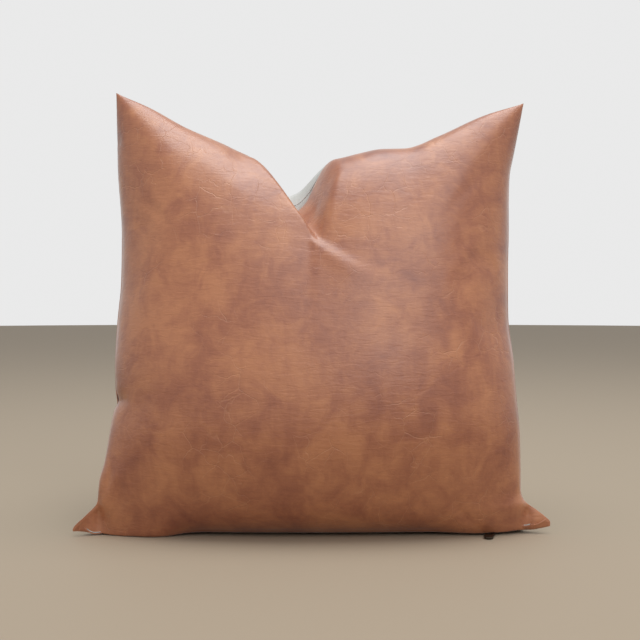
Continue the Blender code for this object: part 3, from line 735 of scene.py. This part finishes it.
def sample(field, across, up):
    """Reads a grid field at fractional places from 0 to 1."""
    cells = sizes().cells
    column, row = np.clip(across, 0, 1) * cells, np.clip(up, 0, 1) * cells
    low_c = np.clip(np.floor(column).astype(int), 0, cells - 1)
    low_r = np.clip(np.floor(row).astype(int), 0, cells - 1)
    share_c, share_r = (column - low_c)[..., None], (row - low_r)[..., None]
    low = mix(field[low_r, low_c], field[low_r, low_c + 1], share_c)
    high = mix(field[low_r + 1, low_c], field[low_r + 1, low_c + 1], share_c)
    return mix(low, high, share_r)


def add_piece(name, builder, slot, body="cushion", replaced=(), smooth=True):
    """Turns a bmesh into a finished piece that rides on a body and stands for CAD nodes."""
    mesh = bpy.data.meshes.new(name)
    builder.to_mesh(mesh)
    builder.free()
    mesh.materials.append(material(slot))
    made = bpy.data.objects.new(name, mesh)
    bpy.context.collection.objects.link(made)
    if smooth:
        mesh.shade_smooth()
    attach(made, body)
    if replaced:
        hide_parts(*replaced)
    return made


def finish_with(made, kind, **settings):
    """Adds a modifier with its settings."""
    modifier = made.modifiers.new(kind.lower(), kind)
    for key, value in settings.items():
        setattr(modifier, key, value)
    return modifier


def grid_on(builder, cells, field):
    """A grid whose vertices lie on a field of points. Returns each vertex's row and column."""
    made = bmesh.ops.create_grid(builder, x_segments=cells, y_segments=cells, size=1.0)["verts"]
    places = {vert: (round((vert.co.y + 1.0) * cells / 2), round((vert.co.x + 1.0) * cells / 2))
              for vert in made}
    for vert, place in places.items():
        vert.co = field[place]
    return places


def face_outwards(builder, side):
    """Turns a panel's faces away from the pillow's middle."""
    bmesh.ops.recalc_face_normals(builder, faces=builder.faces)
    centre = Vector((0.0, side * 0.1, 0.2))
    nearest = min(builder.faces, key=lambda face: (face.calc_center_median() - centre).length)
    if nearest.normal.y * side < 0.0:
        bmesh.ops.reverse_faces(builder, faces=builder.faces)


def cover_panel(name, side_name, slot, replaced):
    """One panel of the cover: its outer face, the turn into the seam and the hem inside it."""
    shapes = make_cover_points()
    size = sizes()
    cells = size.cells
    side = SIDES[side_name]
    surface = shapes[side_name]
    builder = bmesh.new()
    cut = builder.loops.layers.uv.new("cut")
    places = grid_on(builder, cells, surface)
    flat = cut_points(surface)
    rim = [edge for edge in builder.edges if edge.is_boundary]
    for vert, (row, column) in places.items():
        if row == 0:
            vert.co.y += side * zip_opening(vert.co.x)
        elif row in (1, 2):
            vert.co.y += side * zip_opening(vert.co.x) * (0.75, 0.35)[row - 1]
        elif row == cells or column in (0, cells):
            vert.co.y += side * SEAM_HALF_GAP
    middle = shapes["middle"]
    for depth in (FIRST_FOLD, size.hem):
        grown = bmesh.ops.extrude_edge_only(builder, edges=rim)["geom"]
        fresh = [item for item in grown if isinstance(item, bmesh.types.BMVert)]
        old = {vert for edge in rim for vert in edge.verts}
        rim = [item for item in grown if isinstance(item, bmesh.types.BMEdge)
               and not set(item.verts) & old]
        for vert in fresh:
            source = next(edge.other_vert(vert) for edge in vert.link_edges
                          if edge.other_vert(vert) in old)
            row, column = places[vert] = places[source]
            vert.co = hem_place(middle, row, column, depth, side)
    for face in builder.faces:
        for loop in face.loops:
            loop[cut].uv = flat[places[loop.vert]]
    face_outwards(builder, side)
    panel = add_piece(name, builder, slot, replaced=replaced)
    finish_with(panel, "SOLIDIFY", thickness=size.cloth, offset=-1.0, use_rim=True,
                use_quality_normals=True)
    finish_with(panel, "SUBSURF", levels=1, render_levels=1)
    return panel


def zip_opening(x):
    """Half the gap between the panels along the bottom, closing past the zip's ends."""
    shut = smoothstep((abs(x) - ZIP_OPEN_TO) / ZIP_CLOSES_OVER)
    return mix(sizes().zip_gap, SEAM_HALF_GAP, float(shut))


def hem_place(middle, row, column, depth, side):
    """A point of the hem, this far inside the seam, between the two panels."""
    cells = sizes().cells
    inside = depth / sizes().panel
    across = np.clip(column / cells, inside, 1.0 - inside)
    up = np.clip(row / cells, inside, 1.0 - inside)
    start = middle[row, column]
    target = sample(middle, np.array(mix(0.5, across, 1.0)), np.array(up))
    way = target - start
    length = np.linalg.norm(way)
    if length > 1e-9:
        way = way / length
    # Along the zip the hem stands up, and under the notch it hangs straight down.
    if row == 0:
        upright = float(smoothstep((0.222 - abs(start[0])) / 0.02))
        way = mix(way, np.array([0.0, 0.0, 1.0]), upright)
    if row == cells:
        hanging = float(smoothstep((0.14 - abs(start[0])) / 0.06))
        way = mix(way, np.array([0.0, 0.0, -1.0]), hanging)
    place = Vector(start + way * depth)
    place.y += side * (zip_opening(place.x) if row == 0 else HEM_HALF_GAP)
    return place


class PILLOW_OT_cover(bpy.types.Operator):
    """Builds the leather-look front and the woven back of the cover"""
    bl_idname = "pillow.cover"
    bl_label = "Cover"

    def execute(self, context):
        cover_panel("front_cover", "front", "faux_leather", ("front_panel",))
        cover_panel("back_cover", "back", "woven_back", ("back_panel",))
        return {"FINISHED"}


# ---- the inner cushion ----

def inner_point_field(side_name, cells, inset, top_inset, clearance):
    """Points of a form inside the cover, with its own seams this far inside the cover's."""
    shapes = make_cover_points()
    side = sizes().panel
    share = crowded(cells, ROW_CROWDING)
    a, b = np.meshgrid(share, share)
    across = 0.5 + 0.5 * a * (1.0 - 2.0 * inset / side)
    notch_room = 40.0 * MM * np.exp(-((across - 0.47) / 0.13) ** 2)
    up = mix(inset / side, 1.0 - (top_inset + notch_room) / side, (b + 1.0) / 2.0)
    middle = sample(shapes["middle"], across, up)
    outer = sample(shapes[side_name], across, up)
    way = outer - middle
    length = np.linalg.norm(way, axis=-1, keepdims=True)
    closing = (np.clip(1.0 - np.abs(a) ** 6, 0, 1) * np.clip(1.0 - np.abs(b) ** 6, 0, 1))[..., None]
    kept = np.clip(length - clearance, 0.0, None) * np.sqrt(closing)
    points = middle + way / np.maximum(length, 1e-9) * kept
    # Room above the zip for the slider, all along its run.
    half_width, fade, height = SLIDER_ROOM
    room = smoothstep((half_width - np.abs(points[..., 1] - sizes().seam_y)) / fade)
    points[..., 2] = np.maximum(points[..., 2], (height + 0.6 * clearance) * room)
    return points


def insert_panel(name, side_name, replaced):
    """One panel of the inner cushion's casing."""
    cells = 48
    side = SIDES[side_name]
    builder = bmesh.new()
    field = inner_point_field(side_name, cells, 20 * MM, 50 * MM, 3.5 * MM)
    places = grid_on(builder, cells, field)
    for vert, (row, column) in places.items():
        if row in (0, cells) or column in (0, cells):
            vert.co.y += side * 0.5 * MM
    face_outwards(builder, side)
    made = add_piece(name, builder, "insert_casing", replaced=replaced)
    finish_with(made, "SOLIDIFY", thickness=0.5 * MM, offset=-1.0, use_rim=True)
    finish_with(made, "SUBSURF", levels=1, render_levels=1)
    return made


class PILLOW_OT_insert(bpy.types.Operator):
    """Builds the inner cushion: two casing panels and the fibre filling"""
    bl_idname = "pillow.insert"
    bl_label = "Insert"

    def execute(self, context):
        insert_panel("insert_front_casing", "front", ("insert_front_panel",))
        insert_panel("insert_back_casing", "back", ("insert_back_panel",))
        cells = 40
        builder = bmesh.new()
        loops = []
        for side_name, side in SIDES.items():
            field = inner_point_field(side_name, cells, 36 * MM, 66 * MM, 7.5 * MM)
            places = grid_on(builder, cells, field)
            for vert, (row, column) in places.items():
                if row in (0, cells) or column in (0, cells):
                    vert.co.y += side * 0.6 * MM
            loops += [edge for edge in builder.edges if edge.is_boundary and edge.verts[0] in places]
        bmesh.ops.bridge_loops(builder, edges=loops)
        bmesh.ops.recalc_face_normals(builder, faces=builder.faces)
        filling = add_piece("fibre_filling", builder, "fibre_filling", replaced=("insert_filling",))
        finish_with(filling, "SUBSURF", levels=1, render_levels=1)
        return {"FINISHED"}


# ---- stitches ----

def stitch_run(builder, path, length, radius):
    """A row of separate stitches along a path, each a short six-sided rod."""
    path = np.asarray(path, float)
    steps = np.linalg.norm(np.diff(path, axis=0), axis=1)
    total = np.concatenate([[0.0], np.cumsum(steps)])
    count = int(total[-1] / length)
    for number in range(count):
        ends = []
        for share in (0.08, 0.92):
            at = (number + share) * length
            ends.append(Vector([np.interp(at, total, path[:, k]) for k in range(3)]))
        way = ends[1] - ends[0]
        if way.length < 1e-6:
            continue
        made = bmesh.ops.create_cone(builder, cap_ends=True, segments=6, radius1=radius,
                                     radius2=radius, depth=way.length)["verts"]
        turn = way.to_track_quat("Z", "Y").to_matrix()
        bmesh.ops.rotate(builder, verts=made, matrix=turn)
        bmesh.ops.translate(builder, verts=made, vec=(ends[0] + ends[1]) / 2)


def seam_path(inset, top_inset, closed):
    """The stitch line: around the left, top and right seams, and along the bottom if it is closed."""
    shapes = make_cover_points()
    side = sizes().panel
    line = np.linspace(0.01, 0.99, 160)
    low, high = inset / side, 1.0 - top_inset / side
    places = [(low, mix(low, high, t)) for t in line]
    places += [(mix(low, 1.0 - low, t), high) for t in line]
    places += [(1.0 - low, mix(high, low, t)) for t in line]
    if closed:
        places += [(mix(1.0 - low, low, t), low) for t in line]
    across = np.array([p[0] for p in places])
    up = np.array([p[1] for p in places])
    return sample(shapes["middle"], across, up)


class PILLOW_OT_threads(bpy.types.Operator):
    """Sews the cover's seams, the inner cushion's seams and the zip's tapes"""
    bl_idname = "pillow.threads"
    bl_label = "Threads"

    def execute(self, context):
        size = sizes()
        runs = (("cover_stitches", "brown_thread", "seam_thread", STITCHED_INSET, STITCHED_INSET,
                 False),
                ("insert_stitches", "white_thread", "insert_seam_thread", *INSERT_STITCH_INSETS, True))
        for name, slot, node, inset, top_inset, closed in runs:
            builder = bmesh.new()
            stitch_run(builder, seam_path(inset, top_inset, closed), size.stitch, 0.25 * MM)
            add_piece(name, builder, slot, replaced=(node,))
        for side_name in SIDES:
            low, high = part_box(f"zip_thread_{side_name}")
            y, z = (low[1] + high[1]) / 2, (low[2] + high[2]) / 2
            builder = bmesh.new()
            stitch_run(builder, [(low[0], y, z), (high[0], y, z)], size.stitch, 0.2 * MM)
            add_piece(f"zip_stitches_{side_name}", builder, "white_thread",
                      replaced=(f"zip_thread_{side_name}",))
        return {"FINISHED"}


# ---- zip ----

def coil_turn(builder, side, x, centre_y, low_z, high_z):
    """One turn of the nylon coil: a round filament that loops over the chain's middle."""
    radius = 0.32 * MM
    reach = 0.35 * MM
    outer = 1.75 * MM
    bend = (high_z - low_z) / 2 - radius
    made = bmesh.ops.create_circle(builder, cap_ends=False, segments=6, radius=radius)["verts"]
    bmesh.ops.rotate(builder, verts=made, matrix=Matrix.Rotation(math.pi / 2, 3, "X"))
    start = Vector((x, centre_y + side * outer, low_z + radius))
    bmesh.ops.translate(builder, verts=made, vec=start)
    ring = [edge for edge in builder.edges if edge.verts[0] in set(made) and edge.is_wire]
    grown = bmesh.ops.extrude_edge_only(builder, edges=ring)["geom"]
    fresh = [item for item in grown if isinstance(item, bmesh.types.BMVert)]
    bmesh.ops.translate(builder, verts=fresh, vec=(0.0, -side * (outer + reach - bend), 0.0))
    head = [item for item in grown if isinstance(item, bmesh.types.BMEdge)
            and item.verts[0] in fresh and item.verts[1] in fresh]
    turned = bmesh.ops.spin(builder, geom=head, cent=(x, centre_y - side * (reach - bend),
                                                      low_z + radius + bend),
                            axis=(side * 1.0, 0.0, 0.0), angle=math.pi, steps=4,
                            use_merge=False)["geom_last"]
    last = [item for item in turned if isinstance(item, bmesh.types.BMEdge)]
    grown = bmesh.ops.extrude_edge_only(builder, edges=last)["geom"]
    fresh = [item for item in grown if isinstance(item, bmesh.types.BMVert)]
    bmesh.ops.translate(builder, verts=fresh, vec=(0.5 * MM, side * (outer + reach - bend), 0.0))


class PILLOW_OT_zip(bpy.types.Operator):
    """Builds the zip's coils, and finishes its tapes and stops"""
    bl_idname = "pillow.zip"
    bl_label = "Zip"

    def execute(self, context):
        pitch = 1.5 * MM
        centre_y = sizes().seam_y
        for side_name, side in SIDES.items():
            low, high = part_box(f"zip_teeth_{side_name}")
            builder = bmesh.new()
            start = low[0] + (0.6 if side < 0 else 0.6 + pitch / MM / 2) * MM
            coil_turn(builder, side, start, centre_y, low[2], high[2])
            pattern = builder.verts[:] + builder.edges[:] + builder.faces[:]
            count = int((high[0] - start - 1.0 * MM) / pitch)
            for number in range(1, count):
                copy = bmesh.ops.duplicate(builder, geom=pattern)["geom"]
                moved = [item for item in copy if isinstance(item, bmesh.types.BMVert)]
                bmesh.ops.translate(builder, verts=moved, vec=(number * pitch, 0.0, 0.0))
            ends = [edge for edge in builder.edges if edge.is_boundary]
            bmesh.ops.holes_fill(builder, edges=ends, sides=8)
            bmesh.ops.recalc_face_normals(builder, faces=builder.faces)
            add_piece(f"zip_coil_{side_name}", builder, "zip_coil",
                      replaced=(f"zip_teeth_{side_name}",))
        for node, slot in (("zip_tape_front", "zip_tape"), ("zip_tape_back", "zip_tape"),
                           ("zip_top_stop_front", "dark_metal"), ("zip_top_stop_back", "dark_metal"),
                           ("zip_bottom_stop", "dark_metal")):
            finish_frame_node(node, slot)
        return {"FINISHED"}


def finish_frame_node(node, slot):
    """Gives a part of the frame its finished material."""
    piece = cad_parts[node]
    for place in piece.material_slots:
        place.material = material(slot)


class PILLOW_OT_slider(bpy.types.Operator):
    """Builds the zip's slider and its pull tab"""
    bl_idname = "pillow.slider"
    bl_label = "Slider and pull"

    def execute(self, context):
        for node in ("zip_slider", "zip_pull"):
            copy_with_soft_edges(node)
        return {"FINISHED"}


def copy_with_soft_edges(node):
    """A copy of a metal part of the frame with the rounded edges of a casting."""
    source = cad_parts[node]
    builder = bmesh.new()
    builder.from_mesh(source.data)
    bmesh.ops.remove_doubles(builder, verts=builder.verts, dist=0.005 * MM)
    bmesh.ops.dissolve_limit(builder, angle_limit=math.radians(2), verts=builder.verts,
                             edges=builder.edges)
    made = add_piece(f"{node}_casting", builder, "dark_metal",
                     body=node.replace("zip_", ""), replaced=(node,))
    finish_with(made, "BEVEL", width=0.18 * MM, segments=2, limit_method="ANGLE",
                angle_limit=math.radians(40), harden_normals=True)
    return made


# ---- stage ----

class PILLOW_OT_stage(bpy.types.Operator):
    """Sets the floor, the light and the camera"""
    bl_idname = "pillow.stage"
    bl_label = "Stage"

    def execute(self, context):
        scene = context.scene
        scene.view_settings.view_transform = "Standard"
        builder = bmesh.new()
        bmesh.ops.create_circle(builder, cap_ends=True, segments=64, radius=9.0)
        mesh = bpy.data.meshes.new("floor")
        builder.to_mesh(mesh)
        builder.free()
        floor = bpy.data.objects.new("floor", mesh)
        scene.collection.objects.link(floor)
        finish = new_material("matte_painted_floor", {
            "Base Color": colours().floor, "Roughness": 0.7, "Specular IOR Level": 0.25})[0]
        mesh.materials.append(finish)
        world = bpy.data.worlds.new("studio")
        world.use_nodes = True
        # The studio's walls look brighter, also in the leather's shine, than the light that they give.
        soft = world.node_tree.nodes.new("ShaderNodeLightPath").outputs["Is Diffuse Ray"]
        strength = add_node(world.node_tree, "ShaderNodeMapRange", inputs={
            "Value": soft, "To Min": 0.82, "To Max": 0.46})
        fill(world.node_tree.nodes["Background"], {"Color": linear("#ffffff"), "Strength": strength})
        scene.world = world
        lamp("window", place=(0.9, -2.6, 2.3), target=(0.0, 0.0, 0.25), size=2.4, power=27.0)
        lamp("overhead", place=(0.2, -0.2, 2.8), target=(0.0, 0.0, 0.2), size=2.2, power=50.0)
        place_camera(scene)
        return {"FINISHED"}


def lamp(name, place, target, size, power):
    """A round soft lamp that points at a target."""
    data = bpy.data.lights.new(name, "AREA")
    data.energy = power
    data.shape = "DISK"
    data.size = size
    made = bpy.data.objects.new(name, data)
    made.location = place
    made.rotation_euler = (Vector(target) - Vector(place)).to_track_quat("-Z", "Y").to_euler()
    bpy.context.collection.objects.link(made)
    return made


def place_camera(scene):
    """The camera, low and square in front of the pillow."""
    data = bpy.data.cameras.new("camera")
    data.lens = CAMERA_LENS
    camera = bpy.data.objects.new("camera", data)
    camera.location = (CAMERA_ACROSS, sizes().seam_y - CAMERA_DISTANCE, CAMERA_HEIGHT)
    camera.rotation_euler = (math.radians(90.0 + CAMERA_PITCH), 0.0, 0.0)
    scene.collection.objects.link(camera)
    scene.camera = camera


class PILLOW_PT_panel(bpy.types.Panel):
    """Sizes, colours and steps of the pillow"""
    bl_idname = "PILLOW_PT_panel"
    bl_label = "Throw Pillow"
    bl_space_type = "VIEW_3D"
    bl_region_type = "UI"
    bl_category = "Pillow"

    def draw(self, context):
        for group in (context.scene.pillow_sizes, context.scene.pillow_colours):
            box = self.layout.box()
            for key in group.bl_rna.properties.keys():
                if key not in ("rna_type", "name"):
                    box.prop(group, key)
        for operator in OPERATORS:
            self.layout.operator(operator.bl_idname)


OPERATORS = (PILLOW_OT_cover, PILLOW_OT_insert, PILLOW_OT_threads, PILLOW_OT_zip, PILLOW_OT_slider,
             PILLOW_OT_stage)
CLASSES = (PillowSizes, PillowColours, *OPERATORS, PILLOW_PT_panel)


def register():
    for one in CLASSES:
        bpy.utils.register_class(one)
    bpy.types.Scene.pillow_sizes = PointerProperty(type=PillowSizes)
    bpy.types.Scene.pillow_colours = PointerProperty(type=PillowColours)


def unregister():
    del bpy.types.Scene.pillow_colours
    del bpy.types.Scene.pillow_sizes
    for one in reversed(CLASSES):
        bpy.utils.unregister_class(one)


def main():
    register()
    bpy.ops.pillow.cover()
    bpy.ops.pillow.insert()
    bpy.ops.pillow.threads()
    bpy.ops.pillow.zip()
    bpy.ops.pillow.slider()
    bpy.ops.pillow.stage()


if __name__ == "__main__":
    main()
